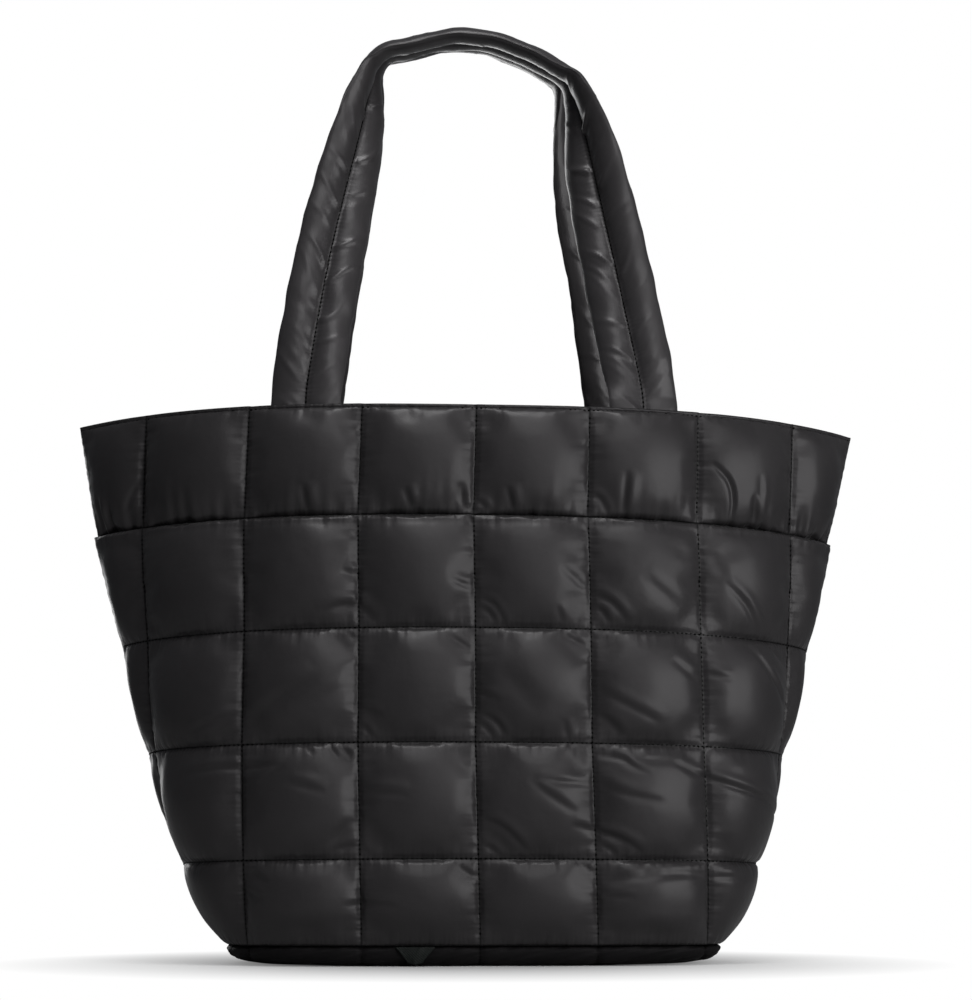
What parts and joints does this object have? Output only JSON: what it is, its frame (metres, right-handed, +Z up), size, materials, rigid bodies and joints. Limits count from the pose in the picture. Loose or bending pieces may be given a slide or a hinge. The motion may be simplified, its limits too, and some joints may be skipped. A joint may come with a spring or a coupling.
{
  "type": "puffer tote bag",
  "caption": "Open quilted puffer tote bag in black nylon, with a separate gathered top band and padded shoulder straps.",
  "frame": {"origin": "on the floor, at the middle of the bag's box seen from above", "axes": "+X along the front towards its right end, -Y out of the front, +Z up"},
  "size_m": [0.532, 0.1806, 0.6579],
  "materials": {
    "shell": "satin",
    "base": "matt",
    "tab": "matt"
  },
  "bodies": {
    "root": {"front_panel": "shell", "back_panel": "shell", "front_top_band": "shell", "back_top_band": "shell", "base_panel": "base", "front_strap": "shell", "back_strap": "shell", "base_tab": "tab"}
  },
  "joints": []
}
